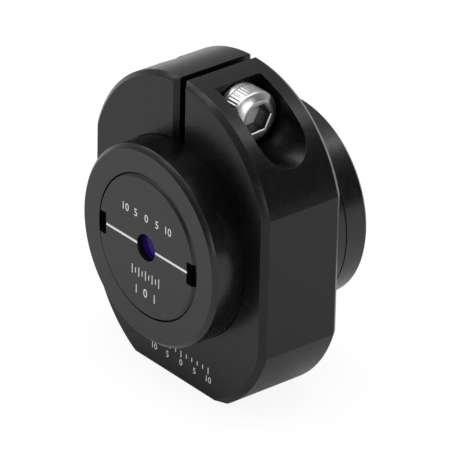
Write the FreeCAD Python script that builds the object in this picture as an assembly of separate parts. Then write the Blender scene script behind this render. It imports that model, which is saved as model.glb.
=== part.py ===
import FreeCAD, Part
import math
import os

# A small Faraday optical isolator held in a split clamp ring.
# Millimetres. Light travels along +Y, +Z is up, and +X is to the right when
# the input face is looked at. The origin is the mouth of the post hole, in
# the middle of the clamp's flat base.

# Clamp ring: a milled plate with a split bore, one flat base and two flat sides
axis_height = 16.5          # optical axis above the base
clamp_thickness = 10.2
clamp_width = 28.3          # across the two side flats
clamp_top = 18.05           # crown of the ears above the optical axis
upper_crease = 7.5          # top arc meets the side flats, above the axis
lower_crease = 8.5          # lower arcs meet the side flats, below the axis
base_width = 16.0
lower_bulge = 0.88          # how far each lower arc stands out of its chord
chamfer_depth = 0.6         # along the optical axis, on both faces
front_chamfer = 0.7         # drawn in from the outline, input side
crown_chamfer = 0.45        # the same in the middle of the crown
rear_chamfer = 0.5          # drawn in from the outline, output side
slit_width = 1.0
slit_chamfer = 0.5
bore_clearance = 0.05       # running fit of the barrel, on the radius

# Tapped hole for a mounting post, in the base
post_thread_radius = 2.08   # crests of the post's thread
post_thread_depth = 3.2
post_drill_radius = 1.73    # drilled before it was tapped
post_drill_depth = 3.8
drill_point_angle = 118.0

# Socket-head clamp screw and its seat in the right ear
screw_drop = 3.35           # screw axis below the crown of the ears
screw_radius = 1.75
screw_length = 9.5          # under the head
screw_tip_chamfer = 0.35
screw_clearance = 0.05      # in the tapped ear, on the radius
ear_clearance = 0.15        # in the plain ear, on the radius
head_radius = 2.87
head_height = 3.5
head_rim_chamfer = 0.42
head_foot_chamfer = 0.35
socket_sides = 6
socket_flats = 2.85
socket_depth = 1.8
socket_mouth_radius = 1.98
socket_mouth_depth = 0.3
socket_turn = 3.5           # degrees from +Y to the first corner
pocket_floor = 3.03         # from the middle of the slit to the head's seat
pocket_clearance = 0.13     # beside the head, on each side
pocket_drop = 0.2           # pocket's round end below the screw axis

# Barrel: a stepped housing and the end cap screwed into its output end
barrel_radius = 11.05
front_protrusion = 3.9      # housing's face in front of the clamp
barrel_chamfer = 0.45
seam_break = 0.12           # edge break of the end cap at the seam
cell_wall = 2.98            # metal round each polarizer cell
magnet_wall = 2.35          # metal round the magnets
end_cap_length = 3.15
spigot_length = 1.5
cap_gap = 0.05              # end cap's spigot to the magnet ring
thread_clearance = 0.03     # between screwed pieces, on the radius
shoulder_thickness = 1.0
shoulder_radius = 4.5

# Polarizer cells: stepped discs turned into place with a pin or blade spanner
cell_clearance = 0.07
cell_seat_depth = 2.8
cell_proud = 0.2            # face of the cell above the barrel's face
cell_chamfer = 0.3
aperture_radius = 1.5
cell_web = 0.7              # metal left in front of the polarizer
slot_width = 2.55
slot_length = 1.35          # in from the cell's rim
slot_depth = 1.2
axis_line_width = 0.38      # engraved across the face, for white paint
axis_line_depth = 0.05
output_turn = 45.0          # output axis is turned from the input axis

# Polarizers and the threaded rings behind them
polarizer_rim = 1.25        # polarizer's edge outside the aperture
polarizer_thickness = 1.6
polarizer_clearance = 0.05
retainer_opening = 0.3      # retainer's bore outside the aperture
retainer_notch_width = 0.6
retainer_notch_depth = 0.35

# Magnet stack
magnet_clearance = 0.05
end_magnet_length = 3.2
centre_magnet_length = 3.9
spacer_length = 0.4
ring_length = 1.0
ring_notch_width = 1.6
ring_notch_depth = 0.6

# Crystal, its sleeve and the two threaded stops that hold it
crystal_radius = 1.7
crystal_clearance = 0.03
stop_ledge = 0.4            # stops' seats outside the crystal
stop_length = 0.9
stop_opening = 0.05         # stops' bores outside the aperture
sleeve_wall = 0.5           # metal round the stops
sleeve_clearance = 0.04
flange_clearance = 0.05

# Places along the optical axis, worked out from the sizes above
half_thickness = clamp_thickness / 2
face_y = -half_thickness - front_protrusion
input_seat_y = face_y + cell_seat_depth
stack_y = input_seat_y + shoulder_thickness
input_spacer_y = stack_y + end_magnet_length
centre_magnet_y = input_spacer_y + spacer_length
output_spacer_y = centre_magnet_y + centre_magnet_length
output_magnet_y = output_spacer_y + spacer_length
ring_y = output_magnet_y + end_magnet_length
spigot_y = ring_y + ring_length + cap_gap
seam_y = spigot_y + spigot_length
rear_y = seam_y + end_cap_length
output_seat_y = rear_y - cell_seat_depth

# Radii that follow from a fit
clamp_bore_radius = barrel_radius + bore_clearance
magnet_bore_radius = barrel_radius - magnet_wall
magnet_radius = magnet_bore_radius - magnet_clearance
cell_bore_radius = barrel_radius - cell_wall
cell_radius = cell_bore_radius - cell_clearance
slot_inner_radius = cell_radius - slot_length
polarizer_radius = aperture_radius + polarizer_rim
polarizer_pocket_radius = polarizer_radius + polarizer_clearance
stop_radius = crystal_radius + stop_ledge
sleeve_radius = stop_radius + sleeve_wall
sleeve_bore_radius = sleeve_radius + sleeve_clearance
pocket_radius = head_radius + pocket_clearance
screw_z = axis_height + clamp_top - screw_drop
pocket_z = screw_z - pocket_drop

optical_axis = FreeCAD.Vector(0, 0, axis_height)
screw_axis = FreeCAD.Vector(0, 0, screw_z)
along_x = FreeCAD.Vector(1, 0, 0)
along_y = FreeCAD.Vector(0, 1, 0)
along_z = FreeCAD.Vector(0, 0, 1)


def point(x, y, z):
    return FreeCAD.Vector(x, y, z)


def turned(outline):
    """Turn a closed outline of (radius, y) pairs about the optical axis."""
    corners = [point(radius, y, axis_height) for radius, y in outline]
    face = Part.Face(Part.makePolygon(corners + corners[:1]))
    return face.revolve(optical_axis, along_y, 360)


def turned_ring(inner, outer, start, length):
    """A plain ring about the optical axis."""
    end = start + length
    return turned([
        (inner, start),
        (outer, start),
        (outer, end),
        (inner, end),
    ])


def prism(corners, travel):
    """Push a flat polygon along a straight line."""
    return Part.Face(Part.makePolygon(corners + corners[:1])).extrude(travel)


def post_hole():
    """The drilled and tapped hole, with the cone that the drill left."""
    base = point(0, 0, 0)
    bottom = point(0, 0, post_drill_depth)
    point_depth = post_drill_radius / math.tan(
        math.radians(drill_point_angle / 2))
    thread = Part.makeCylinder(post_thread_radius, post_thread_depth, base)
    drilled = Part.makeCylinder(post_drill_radius, post_drill_depth, base)
    cone = Part.makeCone(post_drill_radius, 0, point_depth, bottom)
    return thread.fuse([drilled, cone])


def arc_between(centre, radius, start, end):
    """The short arc from start to end on a circle in a plane of constant y."""
    middle = (start + end) / 2 - centre
    middle.normalize()
    return Part.Arc(start, centre + middle * radius, end).toShape()


def clamp_outline(y, inset=0, crown_inset=0):
    """The plate's outline at one y, drawn in by the insets but not at the base."""
    side = clamp_width / 2
    foot = base_width / 2
    low = axis_height - lower_crease
    rise = clamp_top - upper_crease
    top_radius = (side ** 2 + rise ** 2) / (2 * rise)
    top_centre = point(0, y, axis_height + clamp_top - top_radius)
    chord = math.hypot(side - foot, low)
    low_radius = (chord ** 2 / 4 + lower_bulge ** 2) / (2 * lower_bulge)
    back = (low_radius - lower_bulge) / chord
    low_x = (side + foot) / 2 - back * low
    low_z = low / 2 + back * (side - foot)

    side -= inset
    top_radius -= inset
    low_radius -= inset
    high_z = top_centre.z + math.sqrt(top_radius ** 2 - side ** 2)
    side_z = low_z - math.sqrt(low_radius ** 2 - (side - low_x) ** 2)
    foot = low_x + math.sqrt(low_radius ** 2 - low_z ** 2)
    right_foot = point(foot, y, 0)
    right_low = point(side, y, side_z)
    right_high = point(side, y, high_z)
    crown = point(0, y, axis_height + clamp_top - crown_inset)
    left_high = point(-side, y, high_z)
    left_low = point(-side, y, side_z)
    left_foot = point(-foot, y, 0)
    return Part.Wire([
        Part.LineSegment(left_foot, right_foot).toShape(),
        arc_between(point(low_x, y, low_z), low_radius, right_foot, right_low),
        Part.LineSegment(right_low, right_high).toShape(),
        Part.Arc(right_high, crown, left_high).toShape(),
        Part.LineSegment(left_high, left_low).toShape(),
        arc_between(point(-low_x, y, low_z), low_radius, left_low, left_foot),
    ])


def chamfered_plate():
    """The plate with both faces' edges chamfered, but not along the base."""
    inner = half_thickness - chamfer_depth
    front_edge = clamp_outline(-half_thickness, front_chamfer, crown_chamfer)
    rear_edge = clamp_outline(half_thickness, rear_chamfer, rear_chamfer)
    middle = Part.Face(clamp_outline(-inner)).extrude(along_y * 2 * inner)
    front = Part.makeLoft([front_edge, clamp_outline(-inner)], True, True)
    rear = Part.makeLoft([clamp_outline(inner), rear_edge], True, True)
    return middle.fuse([front, rear]).removeSplitter()


def clamp_slit():
    """The saw cut through the crown, flared where it meets both faces."""
    half = slit_width / 2
    flare = half + slit_chamfer
    inner = half_thickness - slit_chamfer
    section = [
        (-flare, -half_thickness),
        (-half, -inner),
        (-half, inner),
        (-flare, half_thickness),
        (flare, half_thickness),
        (half, inner),
        (half, -inner),
        (flare, -half_thickness),
    ]
    corners = [point(x, y, axis_height) for x, y in section]
    return prism(corners, along_z * (clamp_top + slit_width))


def screw_pocket():
    """The U-shaped seat milled into the right ear, open at the crown."""
    reach = clamp_width / 2
    seat = point(pocket_floor, 0, pocket_z)
    end = Part.makeCylinder(pocket_radius, reach, seat, along_x)
    corner = point(pocket_floor, -pocket_radius, pocket_z)
    channel = Part.makeBox(reach, 2 * pocket_radius, clamp_top, corner)
    return end.fuse(channel)


def clamp_ring():
    """The plate with its bore, slit, pocket and holes cut out of it."""
    plate = chamfered_plate()
    bore = Part.makeCylinder(
        clamp_bore_radius, clamp_thickness,
        point(0, -half_thickness, axis_height), along_y)
    plain_hole = Part.makeCylinder(
        screw_radius + ear_clearance, pocket_floor, screw_axis, along_x)
    tapped_hole = Part.makeCylinder(
        screw_radius + screw_clearance, clamp_width / 2, screw_axis, -along_x)
    for cutter in (bore, clamp_slit(), screw_pocket(),
                   plain_hole, tapped_hole, post_hole()):
        plate = plate.cut(cutter)
    return plate


def socket_corners(x):
    """The corners of the hexagon socket at one place along the screw."""
    corner_radius = socket_flats / 2 / math.cos(math.pi / socket_sides)
    corners = []
    for side in range(socket_sides):
        angle = math.radians(socket_turn) + 2 * math.pi * side / socket_sides
        corners.append(point(
            x,
            corner_radius * math.cos(angle),
            screw_z + corner_radius * math.sin(angle)))
    return corners


def clamp_screw():
    """A socket-head cap screw, turned and then broached from its face."""
    tip = pocket_floor - screw_length
    face = pocket_floor + head_height
    outline = [
        (face, 0),
        (face, head_radius - head_rim_chamfer),
        (face - head_rim_chamfer, head_radius),
        (pocket_floor + head_foot_chamfer, head_radius),
        (pocket_floor, head_radius - head_foot_chamfer),
        (pocket_floor, screw_radius),
        (tip + screw_tip_chamfer, screw_radius),
        (tip, screw_radius - screw_tip_chamfer),
        (tip, 0),
    ]
    corners = [point(x, 0, screw_z + radius) for x, radius in outline]
    section = Part.Face(Part.makePolygon(corners + corners[:1]))
    body = section.revolve(screw_axis, along_x, 360)
    socket = prism(
        socket_corners(face - socket_depth), along_x * socket_depth)
    mouth = Part.makeCone(
        socket_mouth_radius - socket_mouth_depth, socket_mouth_radius,
        socket_mouth_depth, point(face - socket_mouth_depth, 0, screw_z),
        along_x)
    return body.cut(socket.fuse(mouth))


def magnet_housing():
    """The long part of the barrel, bored from both ends to one shoulder."""
    return turned([
        (cell_bore_radius, face_y),
        (barrel_radius - barrel_chamfer, face_y),
        (barrel_radius, face_y + barrel_chamfer),
        (barrel_radius, seam_y),
        (magnet_bore_radius, seam_y),
        (magnet_bore_radius, stack_y),
        (shoulder_radius, stack_y),
        (shoulder_radius, input_seat_y),
        (cell_bore_radius, input_seat_y),
    ])


def output_end_cap():
    """The short end of the barrel, with the spigot that screws it in."""
    spigot_radius = magnet_bore_radius - thread_clearance
    return turned([
        (shoulder_radius, spigot_y),
        (spigot_radius, spigot_y),
        (spigot_radius, seam_y),
        (barrel_radius - seam_break, seam_y),
        (barrel_radius, seam_y + seam_break),
        (barrel_radius, rear_y - barrel_chamfer),
        (barrel_radius - barrel_chamfer, rear_y),
        (cell_bore_radius, rear_y),
        (cell_bore_radius, output_seat_y),
        (shoulder_radius, output_seat_y),
    ])


def radial_slots(inner, outer, width, start, depth):
    """A pair of slots across one diameter, cut in from a flat face."""
    reach = outer - inner
    low_z = axis_height - width / 2
    right = Part.makeBox(reach, depth, width, point(inner, start, low_z))
    left = Part.makeBox(reach, depth, width, point(-outer, start, low_z))
    return right.fuse(left)


def placed(piece, seat_y, outward, turn):
    """Move a piece built on the input seat to the seat and side it is for.

    The piece is built with its rear on y = 0 and its face towards -Y.
    """
    if outward > 0:
        piece.rotate(optical_axis, along_z, 180)
    piece.rotate(optical_axis, along_y, turn)
    piece.translate(along_y * seat_y)
    return piece


def polarizer_cell():
    """A disc with the aperture, the optic's pocket and two spanner slots.

    The engraved line joins the slots and marks the polarization axis.
    """
    length = cell_seat_depth + cell_proud
    disc = turned([
        (aperture_radius, -length),
        (cell_radius - cell_chamfer, -length),
        (cell_radius, cell_chamfer - length),
        (cell_radius, 0),
        (polarizer_pocket_radius, 0),
        (polarizer_pocket_radius, cell_web - length),
        (aperture_radius, cell_web - length),
    ])
    slots = radial_slots(
        slot_inner_radius, barrel_radius, slot_width, -length, slot_depth)
    axis_line = radial_slots(
        0, slot_inner_radius, axis_line_width, -length, axis_line_depth)
    return disc.cut([slots, axis_line])


def polarizer():
    """The coated optic, seated on the cell's web."""
    front = cell_web - cell_seat_depth - cell_proud
    return turned([
        (0, front),
        (polarizer_radius, front),
        (polarizer_radius, front + polarizer_thickness),
        (0, front + polarizer_thickness),
    ])


def polarizer_retainer():
    """The threaded ring that holds the optic, notched for a spanner."""
    front = cell_web - cell_seat_depth - cell_proud + polarizer_thickness
    outer = polarizer_pocket_radius - thread_clearance
    bore = aperture_radius + retainer_opening
    ring = turned_ring(bore, outer, front, -front)
    notches = radial_slots(
        0, barrel_radius, retainer_notch_width,
        -retainer_notch_depth, retainer_notch_depth)
    return ring.cut(notches)


def stack_ring(start, length):
    """A ring magnet, or the plain washer between two of them."""
    return turned_ring(sleeve_bore_radius, magnet_radius, start, length)


def magnet_ring():
    """The threaded ring that holds the repelling magnets together."""
    outer = magnet_bore_radius - thread_clearance
    ring = turned_ring(shoulder_radius, outer, ring_y, ring_length)
    notches = radial_slots(
        0, barrel_radius, ring_notch_width,
        ring_y + ring_length - ring_notch_depth, ring_notch_depth)
    return ring.cut(notches)


def crystal_sleeve():
    """A flanged tube through the magnets, counterbored at both ends."""
    bore = crystal_radius + crystal_clearance
    flange = shoulder_radius - flange_clearance
    return turned([
        (stop_radius, input_seat_y),
        (flange, input_seat_y),
        (flange, stack_y),
        (sleeve_radius, stack_y),
        (sleeve_radius, ring_y),
        (stop_radius, ring_y),
        (stop_radius, ring_y - stop_length),
        (bore, ring_y - stop_length),
        (bore, input_seat_y + stop_length),
        (stop_radius, input_seat_y + stop_length),
    ])


def crystal():
    """The rod that turns the light's polarization in the magnets' field."""
    start = input_seat_y + stop_length
    return turned([
        (0, start),
        (crystal_radius, start),
        (crystal_radius, ring_y - stop_length),
        (0, ring_y - stop_length),
    ])


def crystal_stop(start):
    """A small threaded ring at one end of the sleeve."""
    bore = aperture_radius + stop_opening
    outer = stop_radius - thread_clearance
    return turned_ring(bore, outer, start, stop_length)


def sub_parts():
    """Every piece by its node's name."""
    pieces = {
        "clamp_ring": clamp_ring(),
        "clamp_screw": clamp_screw(),
        "magnet_housing": magnet_housing(),
        "output_end_cap": output_end_cap(),
        "input_magnet": stack_ring(stack_y, end_magnet_length),
        "input_magnet_spacer": stack_ring(input_spacer_y, spacer_length),
        "centre_magnet": stack_ring(centre_magnet_y, centre_magnet_length),
        "output_magnet_spacer": stack_ring(output_spacer_y, spacer_length),
        "output_magnet": stack_ring(output_magnet_y, end_magnet_length),
        "magnet_retaining_ring": magnet_ring(),
        "crystal_sleeve": crystal_sleeve(),
        "faraday_crystal": crystal(),
        "input_crystal_stop": crystal_stop(input_seat_y),
        "output_crystal_stop": crystal_stop(ring_y - stop_length),
    }
    ends = (("input", input_seat_y, -1, 0),
            ("output", output_seat_y, 1, output_turn))
    for side, seat_y, outward, turn in ends:
        for name, piece in (("polarizer_cell", polarizer_cell()),
                            ("polarizer", polarizer()),
                            ("polarizer_retainer", polarizer_retainer())):
            pieces[side + "_" + name] = placed(piece, seat_y, outward, turn)
    return pieces


os.makedirs("parts", exist_ok=True)
for node, shape in sub_parts().items():
    shape.exportStep("parts/" + node + ".step")
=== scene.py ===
import math

import bmesh
import bpy
from mathutils import Matrix, Vector


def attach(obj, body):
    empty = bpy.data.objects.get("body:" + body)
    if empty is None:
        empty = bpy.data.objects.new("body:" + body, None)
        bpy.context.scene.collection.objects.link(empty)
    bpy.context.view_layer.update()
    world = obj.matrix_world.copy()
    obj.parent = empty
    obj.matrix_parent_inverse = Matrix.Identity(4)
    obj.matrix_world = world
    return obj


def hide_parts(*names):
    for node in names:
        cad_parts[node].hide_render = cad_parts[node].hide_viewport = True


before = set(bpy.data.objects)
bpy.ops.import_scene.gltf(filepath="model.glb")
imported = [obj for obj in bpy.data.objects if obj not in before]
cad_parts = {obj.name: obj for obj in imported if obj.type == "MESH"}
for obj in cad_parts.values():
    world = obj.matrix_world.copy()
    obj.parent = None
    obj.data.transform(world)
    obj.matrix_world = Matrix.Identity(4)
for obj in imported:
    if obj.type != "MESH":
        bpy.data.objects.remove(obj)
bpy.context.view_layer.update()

# Clamp ring: one piece of aluminium plate, milled to its outline, bored, slit
# and pocketed for the screw, bead blasted and anodised black. Its sharp edges
# are eased before blasting.
MM = 0.001
AXIS_HEIGHT = 16.5 * MM
CLAMP_EASE = 0.06 * MM
RIM_EASE = 0.28 * MM
CROWN_RADIUS = 14.76 * MM
CROWN_CENTRE = 19.79 * MM
CROWN_SLACK = 0.06 * MM
POCKET_START = 2.5 * MM
POCKET_HALF = 3.5 * MM
POST_HOLE_ROOM = 3 * MM
CAD_WELD = 0.001 * MM
WELD = 0.0005 * MM
FLAT_ANGLE = math.radians(0.4)
CREASE_ANGLE = math.radians(12)
SMOOTH_ANGLE = math.radians(38)
PATCH_LOW = 0.32
PATCH_HIGH = 0.68
FINE_DETAIL = 2.0
CLAMP_DYE = (0.0014, 0.0014, 0.0016)
# a lighter colour for the edges: painted highlight and wear
CLAMP_EDGE_WEAR_AND_HIGHLIGHT = (0.04, 0.04, 0.041)
CLAMP_EDGE_HIGHLIGHT_REACH = 0.14 * MM


def set_sockets(tree, node, inputs):
    """Link each input that is given a socket and set the others."""
    for name, value in inputs.items():
        if isinstance(value, bpy.types.NodeSocket):
            tree.links.new(value, node.inputs[name])
        else:
            node.inputs[name].default_value = value


def add_node(tree, kind, inputs=None, **settings):
    """A new shader node with its settings and inputs."""
    made = tree.nodes.new(kind)
    for name, value in settings.items():
        setattr(made, name, value)
    set_sockets(tree, made, inputs or {})
    return made


def add_math(tree, operation, first, second=0.0, third=0.0):
    """One step of arithmetic between sockets or numbers."""
    step = add_node(tree, "ShaderNodeMath", {0: first, 1: second, 2: third},
                    operation=operation)
    return step.outputs[0]


def new_material(name):
    """A material, its node tree and the object's own coordinates in it."""
    material = bpy.data.materials.new(name)
    material.use_nodes = True
    tree = material.node_tree
    place = add_node(tree, "ShaderNodeTexCoord").outputs["Object"]
    return material, tree, place


def set_surface(tree, inputs):
    """Link and set the inputs of a material's own surface shader."""
    set_sockets(tree, tree.nodes["Principled BSDF"], inputs)


def patches(tree, place, size, detail=3.0):
    """Soft random patches of about the given size, from 0 to 1."""
    noise = add_node(tree, "ShaderNodeTexNoise", {
        "Vector": place, "Scale": 1 / size, "Detail": detail,
        "Roughness": 0.55})
    return noise.outputs["Fac"]


def spread(tree, value, low, high):
    """Stretch a patch pattern over a range of values."""
    ranged = add_node(tree, "ShaderNodeMapRange", {
        "Value": value, "From Min": PATCH_LOW, "From Max": PATCH_HIGH,
        "To Min": low, "To Max": high})
    return ranged.outputs["Result"]


def worn_edges(tree, place, reach):
    """Painted highlight and wear: 0 on flat faces to 1 on outer edges, broken
    up by fine patches.
    """
    rounded = add_node(tree, "ShaderNodeBevel", {"Radius": reach}, samples=6)
    flat = add_node(tree, "ShaderNodeNewGeometry").outputs["Normal"]
    facing = add_node(tree, "ShaderNodeVectorMath",
                      {0: rounded.outputs["Normal"], 1: flat},
                      operation="DOT_PRODUCT").outputs["Value"]
    edge = add_math(tree, "SUBTRACT", 1.0, facing)
    patchiness = spread(tree, patches(tree, place, 0.35 * MM), 0.3, 4.0)
    return add_math(tree, "MINIMUM", add_math(tree, "MULTIPLY", edge, patchiness),
                    1.0)


def tinted(tree, amount, plain, second_colour):
    """Mix two colours, given as sockets or numbers, by a 0 to 1 pattern."""
    first, second = (
        colour if isinstance(colour, bpy.types.NodeSocket) else (*colour, 1)
        for colour in (plain, second_colour))
    mixed = add_node(tree, "ShaderNodeMix", {
        "Factor": amount, "A": first, "B": second}, data_type="RGBA")
    return mixed.outputs["Result"]


def clouded(tree, place, size, dye, deep, pale):
    """A dye that is deeper and paler by these shares in soft patches."""
    return tinted(tree, patches(tree, place, size),
                  tuple(deep * part for part in dye),
                  tuple(pale * part for part in dye))


def relief(tree, height, strength, depth, ease=None):
    """The normals of a fine relief, over corners that look eased."""
    inputs = {"Strength": strength, "Distance": depth, "Height": height}
    if ease:
        rounded = add_node(tree, "ShaderNodeBevel", {"Radius": ease},
                           samples=4)
        inputs["Normal"] = rounded.outputs["Normal"]
    return add_node(tree, "ShaderNodeBump", inputs).outputs["Normal"]


def blasted_anodise(name, dye):
    """Black anodise over bead-blasted aluminium: fine, even and matt, with
    edges painted lighter as highlight and wear.
    """
    material, tree, place = new_material(name)
    colour = clouded(tree, place, 3.0 * MM, dye, 0.8, 1.25)
    edges = worn_edges(tree, place, CLAMP_EDGE_HIGHLIGHT_REACH)
    blast = patches(tree, place, 0.09 * MM, FINE_DETAIL)
    set_surface(tree, {
        # the edges are painted lighter: painted highlight and wear
        "Base Color": tinted(tree, edges, colour, CLAMP_EDGE_WEAR_AND_HIGHLIGHT),
        "Roughness": spread(tree, patches(tree, place, 0.9 * MM), 0.26, 0.31),
        "Normal": relief(tree, blast, 0.35, 0.002 * MM, 0.05 * MM),
        "IOR": 1.4})
    return material


def finish_piece(name, bm, material, body):
    """Turn a bmesh into a piece that rides on its body."""
    bmesh.ops.remove_doubles(bm, verts=bm.verts, dist=WELD)
    bmesh.ops.recalc_face_normals(bm, faces=bm.faces)
    mesh = bpy.data.meshes.new(name)
    bm.to_mesh(mesh)
    bm.free()
    mesh.shade_smooth()
    mesh.set_sharp_from_angle(angle=SMOOTH_ANGLE)
    mesh.materials.append(material)
    piece = bpy.data.objects.new(name, mesh)
    bpy.context.scene.collection.objects.link(piece)
    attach(piece, body)
    return piece


def flat_faces_stay_flat(piece):
    """Let the large faces set the shading, so only the rounds turn."""
    weighted = piece.modifiers.new("flat_faces", "WEIGHTED_NORMAL")
    weighted.keep_sharp = True
    weighted.weight = 100


def joined_copy(node):
    """A copy of a CAD solid with its triangles joined into whole faces."""
    bm = bmesh.new()
    bm.from_mesh(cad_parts[node].data)
    bmesh.ops.remove_doubles(bm, verts=bm.verts, dist=CAD_WELD)
    bmesh.ops.dissolve_limit(bm, angle_limit=FLAT_ANGLE, verts=bm.verts,
                             edges=bm.edges, delimit=set())
    return bm


def ease_edges(bm, edges, ease, segments):
    """Round a set of edges and give back the edges of the new faces."""
    made = bmesh.ops.bevel(
        bm, geom=edges, offset=ease, offset_type="OFFSET", segments=segments,
        profile=0.5, material=-1, affect="EDGES", clamp_overlap=True)
    return {edge for face in made["faces"] for edge in face.edges}


def sharp_edges(bm, but_not=()):
    """The solid's corners, apart from those that are rounded already."""
    return [edge for edge in bm.edges if edge.is_manifold
            and edge not in but_not
            and edge.calc_face_angle(0) > CREASE_ANGLE]


def on_crown(vert):
    """Whether a corner lies on the crown, beside the screw's pocket."""
    radius = math.hypot(vert.co.x, vert.co.z - CROWN_CENTRE)
    return (abs(radius - CROWN_RADIUS) < CROWN_SLACK
            and vert.co.x > POCKET_START and abs(vert.co.y) < POCKET_HALF)


def on_base_edge(vert):
    """Whether a corner lies on the outline of the flat base."""
    return (abs(vert.co.z) < CAD_WELD
            and math.hypot(vert.co.x, vert.co.y) > POST_HOLE_ROOM)


plate = joined_copy("clamp_ring")
broken = [edge for edge in sharp_edges(plate)
          if all(on_crown(vert) for vert in edge.verts)
          or all(on_base_edge(vert) for vert in edge.verts)]
rounded = ease_edges(plate, broken, RIM_EASE, 3)
ease_edges(plate, sharp_edges(plate, rounded), CLAMP_EASE, 2)
blasted_black = blasted_anodise("blasted_black_anodise", CLAMP_DYE)
clamp = finish_piece("clamp_ring_eased", plate, blasted_black, "clamp")
flat_faces_stay_flat(clamp)
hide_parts("clamp_ring")

# Post thread: the 8-32 thread tapped into the middle of the base. Its bare
# ridges stand on the wall of the clamp's post hole.
POST_PITCH = 25.4 / 32 * MM
POST_WALL = 2.08 * MM
POST_CREST = 1.77 * MM
POST_SINK = 0.06 * MM
POST_MOUTH = 0.03 * MM
POST_END = 3.18 * MM
POST_TURNS = 6
# the ridge's outline: radius, and place as a share of the pitch
POST_RIDGE = [(POST_WALL, 0.05), (POST_CREST, 0.43), (POST_CREST, 0.57),
              (POST_WALL, 0.95), (POST_WALL + POST_SINK, 0.5),
              (POST_WALL, 0.05)]
TURN_STEPS = 48
ALONG_X = Vector((1, 0, 0))
UPWARD = Vector((0, 0, 1))


def swept_thread(bm, outline, centre, axis, side, pitch, start, turns):
    """Sweep an open outline of (radius, distance) pairs along a helix."""
    corners = [bm.verts.new(centre + side * radius + axis * (start + along))
               for radius, along in outline]
    edges = [bm.edges.new(pair) for pair in zip(corners, corners[1:])]
    bmesh.ops.spin(
        bm, geom=corners + edges, cent=centre, axis=axis,
        dvec=axis * pitch / TURN_STEPS, angle=2 * math.pi * turns,
        steps=TURN_STEPS * turns, use_merge=False)
    bmesh.ops.remove_doubles(bm, verts=bm.verts, dist=WELD)


def cut_square(bm, place, outward):
    """Cut an end off square. Gives back the edges round the cut."""
    cut = bmesh.ops.bisect_plane(
        bm, geom=bm.verts[:] + bm.edges[:] + bm.faces[:], dist=0,
        plane_co=place, plane_no=outward, clear_outer=True)
    return [part for part in cut["geom_cut"]
            if isinstance(part, bmesh.types.BMEdge)]


ridge = bmesh.new()
swept_thread(ridge, [(radius, share * POST_PITCH)
                     for radius, share in POST_RIDGE],
             Vector((0, 0, 0)), UPWARD, ALONG_X, POST_PITCH, -POST_PITCH,
             POST_TURNS)
for place, outward in ((POST_MOUTH, -UPWARD), (POST_END, UPWARD)):
    rim = cut_square(ridge, UPWARD * place, outward)
    bmesh.ops.holes_fill(ridge, edges=rim, sides=0)
finish_piece("post_thread", ridge, blasted_black, "clamp")

# Clamp screw: a 6-32 socket-head cap screw of bright stainless steel, cold
# headed, knurled, rolled and broached. It pulls the two ears together.
SCREW_CENTRE = Vector((0, 0, 31.2)) * MM
SCREW_TIP = -6.47
TIP_CHAMFER = 0.35
SCREW_PITCH = 25.4 / 32
SCREW_MAJOR = 1.75
SCREW_MINOR = 1.32
SCREW_TURNS = 14
ROOT_END = 0.2
CREST_START = 0.447
CREST_END = 0.547
HEAD_SEAT = 3.03
HEAD_FACE = 6.53
HEAD_RADIUS = 2.87
BAND_DEPTH = 0.02
GROOVE_START = 4.00
GROOVE_END = 4.12
GROOVE_DEPTH = 0.13
KNURL_COUNT = 48
KNURL_STEPS = 5
KNURL_DEPTH = 0.05
KNURL_SHARPNESS = 1.5
KNURL_RUNOUT = 0.4
KNURL_START = 4.16
KNURL_MIDDLE = 5.2
KNURL_END = 5.66
RIM_START = 5.75
RIM_ROUND = 0.45
RIM_STEPS = 6
DOME_TILT = math.radians(40)
DOME_SWELL = 0.2
DOME_STEPS = 4
MOUTH_RADIUS = 1.98
MOUTH_DEPTH = 0.01
SOCKET_HALF = 1.425
SOCKET_CHAMFER = 0.10
SOCKET_EASE = 0.02
SOCKET_TURN = math.radians(3.5)
SOCKET_FLOOR = 4.73
FOOT_ROUND = 0.05
PLACE_SLACK = 0.002


def screw_steel_finish(name, pale, deep, rough):
    """Stainless steel with faint drawing lines along the screw."""
    material, tree, place = new_material(name)
    drawn = add_node(tree, "ShaderNodeMapping", {
        "Vector": place, "Scale": (0.12, 1, 1)}).outputs["Vector"]
    scratches = patches(tree, drawn, 0.07 * MM, FINE_DETAIL)
    set_surface(tree, {
        "Base Color": tinted(tree, patches(tree, place, 1.2 * MM), pale,
                             deep),
        "Roughness": spread(tree, patches(tree, place, 0.5 * MM), rough,
                            rough + 0.07),
        "Normal": relief(tree, scratches, 0.35, 0.002 * MM),
        "Metallic": 1.0})
    return material


def socket_reach(angle, outside):
    """How far a hexagon round the key's is from the screw's axis."""
    sector = math.pi / 3
    return ((SOCKET_HALF + outside)
            / math.cos((angle - SOCKET_TURN) % sector - sector / 2))


def turned_angle(vert):
    """The angle of a vertex about the screw's axis, from +Y towards +Z."""
    return math.atan2(vert.co.z - SCREW_CENTRE.z, vert.co.y)


def set_place(vert, along, radius, angle):
    """Put a vertex of the screw at a place given about its axis, in mm."""
    vert.co = SCREW_CENTRE + Vector((
        along, radius * math.cos(angle), radius * math.sin(angle))) * MM


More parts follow.
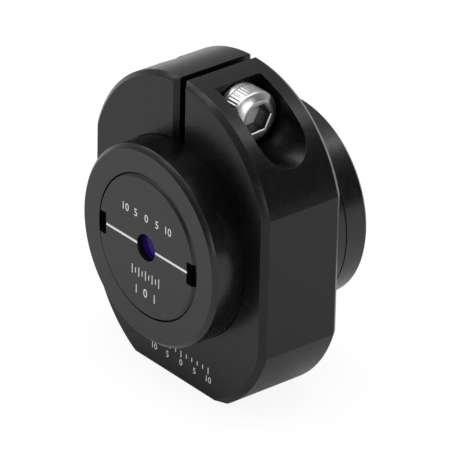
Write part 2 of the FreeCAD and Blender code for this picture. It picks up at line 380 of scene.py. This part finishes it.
screw = bmesh.new()
swept_thread(screw,
             [(SCREW_MINOR * MM, 0),
              (SCREW_MINOR * MM, ROOT_END * MM),
              (SCREW_MAJOR * MM, CREST_START * MM),
              (SCREW_MAJOR * MM, CREST_END * MM),
              (SCREW_MINOR * MM, SCREW_PITCH * MM)],
             SCREW_CENTRE, ALONG_X, UPWARD, SCREW_PITCH * MM,
             (SCREW_TIP - SCREW_PITCH) * MM, SCREW_TURNS)
tip_rim = cut_square(screw, SCREW_CENTRE + ALONG_X * SCREW_TIP * MM, -ALONG_X)
bmesh.ops.holes_fill(screw, edges=tip_rim, sides=0)
for vert in screw.verts:
    from_tip = vert.co.x / MM - SCREW_TIP
    offset = Vector((0, vert.co.y, vert.co.z - SCREW_CENTRE.z))
    allowed = (SCREW_MAJOR - TIP_CHAMFER + from_tip) * MM
    if offset.length > allowed:
        vert.co -= offset * (1 - allowed / offset.length)
cut_square(screw, SCREW_CENTRE + ALONG_X * HEAD_SEAT * MM, ALONG_X)

# the head: a spun outline of places along the screw and radii, from the seat
# over the foot's round, the plain band, the groove, the knurl and the rim
HEAD_OUTLINE = [
    (HEAD_SEAT, SCREW_MAJOR + 0.02),
    (HEAD_SEAT, HEAD_RADIUS - 0.36),
    (HEAD_SEAT + 0.05, HEAD_RADIUS - 0.26),
    (HEAD_SEAT + 0.27, HEAD_RADIUS - 0.06),
    (HEAD_SEAT + 0.37, HEAD_RADIUS - BAND_DEPTH),
    (GROOVE_START, HEAD_RADIUS - BAND_DEPTH),
    (GROOVE_START + 0.03, HEAD_RADIUS - GROOVE_DEPTH),
    (GROOVE_END, HEAD_RADIUS - GROOVE_DEPTH),
    (KNURL_START, HEAD_RADIUS),
    (KNURL_MIDDLE, HEAD_RADIUS),
    (KNURL_END, HEAD_RADIUS),
    (KNURL_END + 0.06, HEAD_RADIUS - 0.005),
]
for step in range(RIM_STEPS + 1):
    turn = (math.pi / 2 - DOME_TILT) * step / RIM_STEPS
    HEAD_OUTLINE.append((
        RIM_START + RIM_ROUND * math.sin(turn),
        HEAD_RADIUS - 0.01 - RIM_ROUND + RIM_ROUND * math.cos(turn)))
dome_start, dome_radius = HEAD_OUTLINE[-1]
for step in range(1, DOME_STEPS + 1):
    share = step / DOME_STEPS
    rise = share * (1 + DOME_SWELL - DOME_SWELL * share)
    HEAD_OUTLINE.append((
        dome_start + (HEAD_FACE - dome_start) * rise,
        dome_radius + (MOUTH_RADIUS - dome_radius) * share))
HEAD_OUTLINE.append((HEAD_FACE, MOUTH_RADIUS - 0.03))

# the socket's loops, as places along the screw and how far the flats stand
# outside the key: chamfer, its two eased edges, the walls and their foot
mouth = HEAD_FACE - MOUTH_DEPTH
SOCKET_LOOPS = [
    (mouth, SOCKET_CHAMFER + SOCKET_EASE),
    (mouth - SOCKET_EASE, SOCKET_CHAMFER),
    (mouth - SOCKET_CHAMFER, 0.015),
    (mouth - SOCKET_CHAMFER - 0.03, 0),
    (SOCKET_FLOOR + FOOT_ROUND, 0),
    (SOCKET_FLOOR, -FOOT_ROUND),
]
first_socket_loop = len(HEAD_OUTLINE)
for along, outside in SOCKET_LOOPS:
    HEAD_OUTLINE.append((along, SOCKET_HALF + outside))
HEAD_OUTLINE.append((SOCKET_FLOOR - 0.02, 0))

thread_verts = set(screw.verts)
start_side = Vector((0, math.cos(SOCKET_TURN), math.sin(SOCKET_TURN)))
corners = [screw.verts.new(
    SCREW_CENTRE + (ALONG_X * along + start_side * radius) * MM)
           for along, radius in HEAD_OUTLINE]
edges = [screw.edges.new(pair) for pair in zip(corners, corners[1:])]
bmesh.ops.spin(screw, geom=corners + edges, cent=SCREW_CENTRE, axis=ALONG_X,
               angle=2 * math.pi, steps=KNURL_COUNT * KNURL_STEPS,
               use_merge=True)
bmesh.ops.remove_doubles(screw, verts=screw.verts, dist=WELD)


def loop_of(vert):
    """Which corner of the head's outline a vertex was spun from."""
    spun = math.hypot(vert.co.y, vert.co.z - SCREW_CENTRE.z) / MM
    for index, (along, radius) in enumerate(HEAD_OUTLINE):
        if (abs(along - vert.co.x / MM) < PLACE_SLACK
                and abs(radius - spun) < PLACE_SLACK):
            return index
    return None


walls = set()
foot = set()
for vert in [vert for vert in screw.verts if vert not in thread_verts]:
    index = loop_of(vert)
    if index is None:
        continue
    angle = turned_angle(vert)
    along, radius = HEAD_OUTLINE[index]
    if along in (KNURL_START, KNURL_MIDDLE, KNURL_END):
        wave = 0.5 + 0.5 * math.cos((angle - SOCKET_TURN) * KNURL_COUNT)
        depth = KNURL_DEPTH * wave ** KNURL_SHARPNESS
        if along == KNURL_END:
            depth *= KNURL_RUNOUT
        set_place(vert, along, radius - depth, angle)
    elif 0 <= index - first_socket_loop < len(SOCKET_LOOPS):
        outside = radius - SOCKET_HALF
        set_place(vert, along, socket_reach(angle, outside), angle)
        if outside <= 0 and along > SOCKET_FLOOR:
            walls.add(vert)
        elif outside <= 0:
            foot.add(vert)
open_rims = [edge for edge in screw.edges if edge.is_boundary]
bmesh.ops.bridge_loops(screw, edges=open_rims)
# the socket's walls get a far darker steel: painted shade in the socket; its
# floor gets a lighter, rougher steel
for face in screw.faces:
    if all(vert in walls or vert in foot for vert in face.verts):
        face.material_index = 1
    elif any(vert in foot for vert in face.verts):
        face.material_index = 2
bright_steel = screw_steel_finish("bright_screw_steel", (0.52, 0.52, 0.515),
                                  (0.60, 0.595, 0.59), 0.27)
# dark steel for the socket's walls: painted shade
socket_steel_painted_shade = screw_steel_finish("socket_walls_painted_shade", (0.10, 0.10, 0.10),
                                  (0.14, 0.14, 0.138), 0.30)
punched_steel = screw_steel_finish("punched_socket_floor", (0.70, 0.70, 0.695),
                                   (0.80, 0.80, 0.79), 0.62)
clamp_screw = finish_piece("knurled_clamp_screw", screw, bright_steel, "screw")
clamp_screw.data.materials.append(socket_steel_painted_shade)
clamp_screw.data.materials.append(punched_steel)
flat_faces_stay_flat(clamp_screw)
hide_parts("clamp_screw")

# Barrel: a long housing and a short end cap, turned from aluminium bar in one
# setting each and anodised black. They meet at a fine seam behind the clamp.
BARREL_RADIUS = 11.05
BARREL_CHAMFER = 0.45
SEAM_WIDTH = 0.14
SEAM_DEPTH = 0.35
FACE_Y = -9.0
INPUT_SEAT_Y = -6.2
MAGNET_SEAT_Y = -5.2
SPIGOT_Y = 6.95
SEAM_Y = 8.45
OUTPUT_SEAT_Y = 8.8
REAR_Y = 11.6
CELL_BORE = 8.07
MAGNET_BORE = 8.70
SPIGOT_RADIUS = MAGNET_BORE - 0.03
SHOULDER_RADIUS = 4.5
SEAM_ROUND = 0.02
BORE_ROUND = 0.04
OUTER_ROUND = 0.06
BARREL_STEPS = 192
OPTICAL_AXIS = Vector((0, 0, AXIS_HEIGHT))
ALONG_Y = Vector((0, 1, 0))
TURNED_DYE = (0.0012, 0.0012, 0.0014)
# a lighter colour for the edges: painted highlight and wear
TURNED_EDGE_WEAR_AND_HIGHLIGHT = (0.02, 0.02, 0.021)


def turned_anodise(name, dye, ring_pitch, gloss):
    """Black anodise over a turned surface: fine rings about the axis, with
    edges painted lighter as highlight and wear.
    """
    material, tree, place = new_material(name)
    from_axis = add_node(tree, "ShaderNodeVectorMath", {
        0: place, 1: OPTICAL_AXIS}, operation="SUBTRACT")
    split = add_node(tree, "ShaderNodeSeparateXYZ",
                     {"Vector": from_axis.outputs["Vector"]})
    across, along, up = split.outputs
    radius = add_math(tree, "SQRT", add_math(
        tree, "MULTIPLY_ADD", across, across,
        add_math(tree, "MULTIPLY", up, up)))
    feed = add_math(tree, "MULTIPLY_ADD", along, 0.6, radius)
    rings = add_math(tree, "SINE", add_math(
        tree, "MULTIPLY", feed, 2 * math.pi / ring_pitch))
    uneven = spread(tree, patches(tree, place, 1.5 * MM), 0.2, 1.0)
    height = add_math(tree, "MULTIPLY_ADD",
                      patches(tree, place, 0.07 * MM, FINE_DETAIL), 1.5,
                      add_math(tree, "MULTIPLY", rings, uneven))
    colour = clouded(tree, place, 2.5 * MM, dye, 0.85, 1.15)
    edges = worn_edges(tree, place, 0.10 * MM)
    set_surface(tree, {
        # the edges are painted lighter: painted highlight and wear
        "Base Color": tinted(tree, edges, colour, TURNED_EDGE_WEAR_AND_HIGHLIGHT),
        "Roughness": spread(tree, patches(tree, place, 0.8 * MM), gloss,
                            gloss + 0.07),
        "Normal": relief(tree, height, 0.4, 0.0015 * MM, 0.04 * MM),
        "IOR": 1.5})
    return material


def turned_piece(outline):
    """Spin a closed outline of (radius, y, corner round) about the axis."""
    bm = bmesh.new()
    corners = [bm.verts.new(OPTICAL_AXIS + Vector((radius, y, 0)) * MM)
               for radius, y, _ in outline]
    bm.faces.new(corners)
    for size in sorted({ease for _, _, ease in outline if ease}):
        chosen = [corner for corner, (_, _, ease) in zip(corners, outline)
                  if ease == size]
        bmesh.ops.bevel(bm, geom=chosen, offset=size * MM, segments=3,
                        profile=0.5, material=-1, affect="VERTICES")
    bmesh.ops.delete(bm, geom=bm.faces[:], context="FACES_ONLY")
    bmesh.ops.spin(bm, geom=bm.verts[:] + bm.edges[:], cent=OPTICAL_AXIS,
                   axis=ALONG_Y, angle=2 * math.pi, steps=BARREL_STEPS,
                   use_merge=True)
    return bm


turned_black = turned_anodise("turned_black_anodise", TURNED_DYE, 0.11 * MM,
                              0.23)
housing = finish_piece("turned_magnet_housing", turned_piece([
    (CELL_BORE, FACE_Y, BORE_ROUND),
    (BARREL_RADIUS - BARREL_CHAMFER, FACE_Y, OUTER_ROUND),
    (BARREL_RADIUS, FACE_Y + BARREL_CHAMFER, OUTER_ROUND),
    (BARREL_RADIUS, SEAM_Y, SEAM_ROUND),
    (MAGNET_BORE, SEAM_Y, 0),
    (MAGNET_BORE, MAGNET_SEAT_Y, 0),
    (SHOULDER_RADIUS, MAGNET_SEAT_Y, BORE_ROUND),
    (SHOULDER_RADIUS, INPUT_SEAT_Y, BORE_ROUND),
    (CELL_BORE, INPUT_SEAT_Y, 0),
]), turned_black, "barrel")
flat_faces_stay_flat(housing)
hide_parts("magnet_housing")

end_cap = finish_piece("turned_end_cap", turned_piece([
    (SHOULDER_RADIUS, SPIGOT_Y, BORE_ROUND),
    (SPIGOT_RADIUS, SPIGOT_Y, OUTER_ROUND),
    (SPIGOT_RADIUS, SEAM_Y, 0),
    (BARREL_RADIUS - SEAM_DEPTH, SEAM_Y, 0),
    (BARREL_RADIUS - SEAM_DEPTH, SEAM_Y + SEAM_WIDTH, 0),
    (BARREL_RADIUS, SEAM_Y + SEAM_WIDTH, SEAM_ROUND),
    (BARREL_RADIUS, REAR_Y - BARREL_CHAMFER, OUTER_ROUND),
    (BARREL_RADIUS - BARREL_CHAMFER, REAR_Y, OUTER_ROUND),
    (CELL_BORE, REAR_Y, BORE_ROUND),
    (CELL_BORE, OUTPUT_SEAT_Y, 0),
    (SHOULDER_RADIUS, OUTPUT_SEAT_Y, BORE_ROUND),
]), turned_black, "barrel")
flat_faces_stay_flat(end_cap)
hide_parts("output_end_cap")

# Polarizer cells: turned discs of black anodised aluminium, each with two
# spanner slots milled across its rim. An engraved line filled with white paint
# shows the polarization axis, and the output cell is turned by 45 degrees.
CELL_EASE = 0.05 * MM
CELL_DYE = (0.003, 0.003, 0.0033)
LINE_HALF = 0.14
LINE_INNER = 1.5
LINE_OUTER = 6.65
LINE_FLOOR = 9.15
LINE_TOP = 9.18
LINE_EASE = 0.02
OUTPUT_TURN = math.radians(45)
OUTPUT_SHIFT = 2.6


def white_paint(name):
    """Filling paint wiped level with the metal: matt, a little uneven."""
    material, tree, place = new_material(name)
    thin = patches(tree, place, 0.25 * MM)
    set_surface(tree, {
        "Base Color": tinted(tree, thin, (0.80, 0.80, 0.79),
                             (0.93, 0.93, 0.92)),
        "Roughness": spread(tree, thin, 0.65, 0.45),
        "Normal": relief(tree, patches(tree, place, 0.12 * MM), 0.4,
                         0.004 * MM)})
    return material


def at_end(bm, side):
    """Leave a part on the input face or turn and move it to the output."""
    if side == "output":
        centre = Matrix.Translation(OPTICAL_AXIS)
        flip = Matrix.Rotation(math.pi, 4, "Z")
        turn = Matrix.Rotation(OUTPUT_TURN, 4, "Y")
        shift = Matrix.Translation(ALONG_Y * OUTPUT_SHIFT * MM)
        bmesh.ops.transform(
            bm, matrix=shift @ centre @ turn @ flip @ centre.inverted(),
            verts=bm.verts)


def paint_line(reach_from, reach_to):
    """A low bar of paint in the engraved line, its top edges rounded."""
    bm = bmesh.new()
    size = ((reach_to - reach_from) * MM, (LINE_TOP - LINE_FLOOR) * MM,
            2 * LINE_HALF * MM)
    middle = Vector(((reach_from + reach_to) / 2 * MM,
                     -(LINE_TOP + LINE_FLOOR) / 2 * MM, AXIS_HEIGHT))
    bmesh.ops.create_cube(bm, size=1, matrix=Matrix.Translation(middle)
                          @ Matrix.Diagonal((*size, 1)))
    outer = [edge for edge in bm.edges
             if all(vert.co.y < middle.y for vert in edge.verts)]
    bmesh.ops.bevel(bm, geom=outer, offset=LINE_EASE * MM, segments=2,
                    profile=0.5, material=-1, affect="EDGES")
    return bm


cell_black = turned_anodise("cell_black_anodise", CELL_DYE, 0.09 * MM, 0.30)
paint = white_paint("white_filling_paint")
for side in ("input", "output"):
    node = side + "_polarizer_cell"
    disc = joined_copy(node)
    ease_edges(disc, sharp_edges(disc), CELL_EASE, 2)
    cell = finish_piece(node + "_eased", disc, cell_black, "barrel")
    flat_faces_stay_flat(cell)
    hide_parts(node)
    for end, reach in (("right", (LINE_INNER, LINE_OUTER)),
                       ("left", (-LINE_OUTER, -LINE_INNER))):
        line = paint_line(*reach)
        at_end(line, side)
        finish_piece(side + "_axis_line_" + end, line, paint, "barrel")

# Marks: plain scales and angles, printed thin in white ink on both polarizer
# cells and at the foot of the clamp's front.
PRINT_THICKNESS = 0.01
TICK_WIDTH = 0.11
CELL_FACE_Y = -9.2
CLAMP_FRONT_Y = -5.1
SCALE_STEP = 5
# on the cells: size and gap of the numbers, gap and heights of the ticks, and
# the places of each row above the optical axis
CELL_NUMBER_SIZE = 1.25
CELL_NUMBER_GAP = 1.75
CELL_NUMBER_ROW = 3.35
CELL_TICK_GAP = 1.1
CELL_TICK_HEIGHTS = (1.1, 0.6)
CELL_TICK_ROW = -3.3
ANGLE_SIZE = 1.4
ANGLE_ROW = -5.4
ANGLE_TICK_REACH = 1.5
ANGLE_TICK_HEIGHT = 1.0
# on the clamp: the same, with places from its middle and above its base
CLAMP_SCALE_X = 1.0
CLAMP_TICK_GAP = 0.9
CLAMP_LONG_TICK = (3.0, 0.8)
CLAMP_SHORT_TICK = (3.1, 0.5)
CLAMP_NUMBER_SIZE = 1.05
CLAMP_NUMBER_GAP = 2.25
CLAMP_NUMBER_ROW = 1.95


def print_number(bm, words, size, x, z, y):
    """Add a number that faces the input side, its middle at x, y and z."""
    curve = bpy.data.curves.new(words, "FONT")
    curve.body = words
    curve.size = size * MM
    curve.align_x = "CENTER"
    curve.align_y = "CENTER"
    curve.resolution_u = 3
    curve.extrude = PRINT_THICKNESS / 2 * MM
    written = bpy.data.objects.new(words, curve)
    bpy.context.scene.collection.objects.link(written)
    graph = bpy.context.evaluated_depsgraph_get()
    mesh = bpy.data.meshes.new_from_object(written.evaluated_get(graph))
    mesh.transform(Matrix.Translation(Vector((x, y, z)) * MM)
                   @ Matrix.Rotation(math.pi / 2, 4, "X"))
    bm.from_mesh(mesh)
    bpy.data.objects.remove(written)
    bpy.data.curves.remove(curve)
    bpy.data.meshes.remove(mesh)


def print_tick(bm, x, z, height, y):
    """Add an upright tick, its middle at x, y and z."""
    place = Matrix.Translation(Vector((x, y, z)) * MM)
    size = Vector((TICK_WIDTH, PRINT_THICKNESS, height)) * MM
    bmesh.ops.create_cube(bm, size=1, matrix=place
                          @ Matrix.Diagonal((*size, 1)))


axis_level = AXIS_HEIGHT / MM
long_tick, short_tick = CELL_TICK_HEIGHTS
for side, angle in (("input", "0"), ("output", "45")):
    scale = bmesh.new()
    for step in range(-2, 3):
        print_number(scale, str(abs(SCALE_STEP * step)), CELL_NUMBER_SIZE,
                     CELL_NUMBER_GAP * step, axis_level + CELL_NUMBER_ROW,
                     CELL_FACE_Y)
        print_tick(scale, CELL_TICK_GAP * step, axis_level + CELL_TICK_ROW,
                   long_tick, CELL_FACE_Y)
        if step != 2:
            print_tick(scale, CELL_TICK_GAP * (step + 0.5),
                       axis_level + CELL_TICK_ROW, short_tick, CELL_FACE_Y)
    print_number(scale, angle, ANGLE_SIZE, 0, axis_level + ANGLE_ROW,
                 CELL_FACE_Y)
    for x in (-ANGLE_TICK_REACH, ANGLE_TICK_REACH):
        print_tick(scale, x, axis_level + ANGLE_ROW, ANGLE_TICK_HEIGHT,
                   CELL_FACE_Y)
    at_end(scale, side)
    finish_piece(side + "_cell_marks", scale, paint, "barrel")
scale = bmesh.new()
for step in range(-5, 6):
    row, height = CLAMP_SHORT_TICK if step % 5 else CLAMP_LONG_TICK
    print_tick(scale, CLAMP_SCALE_X + CLAMP_TICK_GAP * step, row, height,
               CLAMP_FRONT_Y)
for step in range(-2, 3):
    print_number(scale, str(abs(SCALE_STEP * step)), CLAMP_NUMBER_SIZE,
                 CLAMP_SCALE_X + CLAMP_NUMBER_GAP * step, CLAMP_NUMBER_ROW,
                 CLAMP_FRONT_Y)
finish_piece("clamp_scale_marks", scale, paint, "clamp")

# Polarizers: discs of polished glass with a violet antireflection coating,
# each held in its cell by a threaded aluminium ring that is anodised black.
def coated_glass(name):
    """A dark optic under a violet coating, with a little dust; its violet base
    colour is a painted reflection of the coating.
    """
    material, tree, place = new_material(name)
    set_surface(tree, {
        # violet base colour: painted reflection of the coating, uneven in soft
        # patches
        "Base Color": tinted(tree, patches(tree, place, 1.1 * MM),
                             (0.013, 0.002, 0.095), (0.021, 0.004, 0.125)),
        "Roughness": spread(tree, patches(tree, place, 0.3 * MM), 0.05, 0.09),
        "IOR": 1.22,
        "Specular Tint": (0.55, 0.25, 1.0, 1)})
    return material


def refinish(node, material):
    """Put a better material into a CAD piece's own slot."""
    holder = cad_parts[node].material_slots[0]
    holder.link = "OBJECT"
    holder.material = material


violet_painted_reflection_glass = coated_glass("violet_glass_painted_reflection")
for side in ("input", "output"):
    refinish(side + "_polarizer", violet_painted_reflection_glass)
    refinish(side + "_polarizer_retainer", cell_black)

# Magnet stack: three nickel-plated ring magnets with brass washers between
# them, held by a notched brass ring that screws in behind them.
def metal(name, deep, pale, rough, scratch):
    """A bare or plated metal with clouding and fine turning scratches."""
    material, tree, place = new_material(name)
    drawn = add_node(tree, "ShaderNodeMapping", {
        "Vector": place, "Scale": (1, 8, 1)}).outputs["Vector"]
    set_surface(tree, {
        "Base Color": tinted(tree, patches(tree, place, 1.6 * MM), deep,
                             pale),
        "Roughness": spread(tree, patches(tree, place, 0.4 * MM), rough,
                            rough + 0.1),
        "Normal": relief(tree, patches(tree, drawn, 0.3 * MM), 0.3, scratch),
        "Metallic": 1.0})
    return material


nickel = metal("nickel_plate", (0.60, 0.58, 0.54), (0.68, 0.66, 0.62), 0.18,
               0.002 * MM)
brass = metal("turned_brass", (0.68, 0.50, 0.22), (0.78, 0.60, 0.30), 0.24,
              0.003 * MM)
for node in ("input_magnet", "centre_magnet", "output_magnet"):
    refinish(node, nickel)
for node in ("input_magnet_spacer", "output_magnet_spacer",
             "magnet_retaining_ring"):
    refinish(node, brass)

# Crystal: a polished garnet rod in a flanged brass sleeve, held at both ends
# by small threaded brass rings.
def garnet(name):
    """Clear yellow-green crystal, polished at the ends and ground round."""
    material, tree, place = new_material(name)
    set_surface(tree, {
        "Base Color": tinted(tree, patches(tree, place, 1.5 * MM),
                             (0.72, 0.76, 0.46), (0.84, 0.86, 0.60)),
        "Roughness": spread(tree, patches(tree, place, 0.3 * MM), 0.05, 0.16),
        "IOR": 1.95,
        "Transmission Weight": 0.85})
    return material


refinish("faraday_crystal", garnet("garnet_crystal"))
for node in ("crystal_sleeve", "input_crystal_stop", "output_crystal_stop"):
    refinish(node, brass)

# Floor: a plain sheet of white paper that keeps the object's soft shadow. The
# camera sees it as white, and what mirrors it sees it brighter at the back.
FLOOR_REACH = 1.6
FLOOR_DROP = 0.02 * MM
FLOOR_GLOW = 1.08
FLOOR_SHARE = 0.82
NEAR_SHARE = 0.10
SWEEP_START = 0.065
SWEEP_END = 0.10


def white_floor(name):
    """Paper that the camera and the metal see partly as plain white."""
    material, tree, place = new_material(name)
    material.cycles.emission_sampling = "NONE"
    set_surface(tree, {
        "Base Color": (0.80, 0.80, 0.80, 1), "Roughness": 0.9,
        "Specular IOR Level": 0.0})
    glow = add_node(tree, "ShaderNodeEmission", {"Strength": FLOOR_GLOW})
    path = add_node(tree, "ShaderNodeLightPath")
    mirrored = add_math(tree, "MINIMUM", add_math(
        tree, "ADD", path.outputs["Is Glossy Ray"],
        path.outputs["Is Transmission Ray"]), 1.0)
    _, behind, _ = add_node(tree, "ShaderNodeSeparateXYZ",
                            {"Vector": place}).outputs
    sweep = add_node(tree, "ShaderNodeMapRange", {
        "Value": behind, "From Min": SWEEP_START, "From Max": SWEEP_END,
        "To Min": NEAR_SHARE, "To Max": FLOOR_SHARE},
        interpolation_type="SMOOTHSTEP")
    share = add_math(tree, "MULTIPLY_ADD", path.outputs["Is Camera Ray"],
                     FLOOR_SHARE, add_math(tree, "MULTIPLY", mirrored,
                                           sweep.outputs["Result"]))
    share = add_math(tree, "MINIMUM", share, FLOOR_SHARE)
    mixed = add_node(tree, "ShaderNodeMixShader", {
        0: share, 1: tree.nodes["Principled BSDF"].outputs["BSDF"],
        2: glow.outputs["Emission"]})
    tree.links.new(mixed.outputs["Shader"],
                   tree.nodes["Material Output"].inputs["Surface"])
    return material


floor_mesh = bmesh.new()
bmesh.ops.create_grid(floor_mesh, x_segments=1, y_segments=1,
                      size=FLOOR_REACH)
floor_data = bpy.data.meshes.new("floor")
floor_mesh.to_mesh(floor_data)
floor_mesh.free()
floor_data.materials.append(white_floor("white_floor"))
floor = bpy.data.objects.new("floor", floor_data)
floor.location = (0, 0, -FLOOR_DROP)
bpy.context.scene.collection.objects.link(floor)

# Light: a long strip overhead, from the front left to the back right, a soft
# box at the upper left, three on the right (upper, front and low), and a pale
# room that is dark on its right and behind the camera.
LAMP_DISTANCE = 0.6
ROOM_LEVEL = 0.60
LEFT_LEVEL = 0.47
RIGHT_LEVEL = 0.08
CEILING_LEVEL = 0.25
HORIZON_LEVEL = 0.20
BEHIND_CAMERA = 0.4


def soft_box(name, direction, along, width, height, radiance):
    """A lamp that faces the object, its width laid along a direction."""
    data = bpy.data.lights.new(name, "AREA")
    data.shape = "RECTANGLE"
    data.size = width
    data.size_y = height
    data.energy = radiance * 4 * width * height
    lamp = bpy.data.objects.new(name, data)
    aim = Vector(direction).normalized()
    level = Vector(along)
    level = (level - aim * level.dot(aim)).normalized()
    turn = Matrix((level, aim.cross(level), aim)).transposed()
    place = OPTICAL_AXIS + aim * LAMP_DISTANCE
    lamp.matrix_world = Matrix.Translation(place) @ turn.to_4x4()
    bpy.context.scene.collection.objects.link(lamp)


soft_box("overhead_strip", (-0.06, 0.05, 1.0), (0.525, 0.851, 0),
         1.10, 0.13, 2.9)
soft_box("left_soft_box", (-0.70, -0.10, 0.71), ALONG_Y, 0.30, 0.25, 1.6)
soft_box("right_fill", (0.70, -0.27, 0.64), ALONG_Y, 0.2, 0.2, 1.2)
soft_box("front_right_fill", (0.72, -0.67, 0.15), ALONG_Y, 0.16, 0.16, 2.0)
soft_box("low_right_soft_box", (0.95, 0.03, 0.27), ALONG_Y, 0.34, 0.30, 2.1)

world = bpy.data.worlds.new("room")
bpy.context.scene.world = world
world.use_nodes = True
world.cycles.sampling_method = "NONE"
tree = world.node_tree
direction = add_node(tree, "ShaderNodeTexCoord").outputs["Generated"]
across, along, up = add_node(tree, "ShaderNodeSeparateXYZ",
                             {"Vector": direction}).outputs


def fade(value, start, end, level_from, level_to):
    """A level that changes smoothly over a stretch of a direction."""
    return add_node(tree, "ShaderNodeMapRange", {
        "Value": value, "From Min": start, "From Max": end,
        "To Min": level_from, "To Max": level_to},
        interpolation_type="SMOOTHSTEP").outputs["Result"]


sides = fade(across, 0.30, 0.76, LEFT_LEVEL, RIGHT_LEVEL)
ceiling = add_math(tree, "MULTIPLY", fade(up, 0.50, 0.80, 0.0, CEILING_LEVEL),
                   fade(across, 0.35, 0.62, 1.0, 0.0))
horizon = add_math(tree, "MULTIPLY", fade(up, 0.0, 0.22, HORIZON_LEVEL, 0.0),
                   fade(across, -0.3, 0.1, 1.0, 0.0))
room = add_math(tree, "ADD", sides, add_math(tree, "ADD", ceiling, horizon))
room = add_math(tree, "MULTIPLY", room,
                fade(along, -0.84, -0.70, BEHIND_CAMERA, 1.0))
path = add_node(tree, "ShaderNodeLightPath")
white = add_math(tree, "ADD", path.outputs["Is Camera Ray"],
                 path.outputs["Is Transmission Ray"])
white = add_math(tree, "MINIMUM", white, 1.0)
shiny = path.outputs["Is Glossy Ray"]
other = add_math(tree, "SUBTRACT", 1.0, add_math(
    tree, "MINIMUM", add_math(tree, "ADD", white, shiny), 1.0))
level = add_math(tree, "MULTIPLY_ADD", shiny, room, white)
level = add_math(tree, "MULTIPLY_ADD", other, ROOM_LEVEL, level)
set_sockets(tree, tree.nodes["Background"], {
    "Strength": level, "Color": (1, 1, 1, 1)})

# Camera: a long lens from the front right, a little above the object. It is
# aimed near the object's middle and rolled by about a degree.
CAMERA_AIM = Vector((2.834, -1.1, 17.832)) * MM
CAMERA_DISTANCE = 549.275 * MM
CAMERA_AZIMUTH = math.radians(50.279)
CAMERA_ELEVATION = math.radians(28.123)
CAMERA_ROLL = math.radians(1.254)
SENSOR_WIDTH = 36.0
FOCAL_LENGTH = 426.24
CLIP_START = 0.01
CLIP_END = 10

back = Vector((math.sin(CAMERA_AZIMUTH) * math.cos(CAMERA_ELEVATION),
               -math.cos(CAMERA_AZIMUTH) * math.cos(CAMERA_ELEVATION),
               math.sin(CAMERA_ELEVATION)))
level_right = Vector((math.cos(CAMERA_AZIMUTH), math.sin(CAMERA_AZIMUTH), 0))
level_up = back.cross(level_right)
right = (level_right * math.cos(CAMERA_ROLL)
         + level_up * math.sin(CAMERA_ROLL))
up = (level_up * math.cos(CAMERA_ROLL)
      - level_right * math.sin(CAMERA_ROLL))
camera_data = bpy.data.cameras.new("camera")
camera_data.sensor_fit = "HORIZONTAL"
camera_data.sensor_width = SENSOR_WIDTH
camera_data.lens = FOCAL_LENGTH
camera_data.clip_start = CLIP_START
camera_data.clip_end = CLIP_END
camera = bpy.data.objects.new("camera", camera_data)
place = CAMERA_AIM + back * CAMERA_DISTANCE
camera.matrix_world = Matrix((
    (right.x, up.x, back.x, place.x),
    (right.y, up.y, back.y, place.y),
    (right.z, up.z, back.z, place.z),
    (0, 0, 0, 1)))
bpy.context.scene.collection.objects.link(camera)
bpy.context.scene.camera = camera
bpy.context.scene.view_settings.view_transform = "Standard"
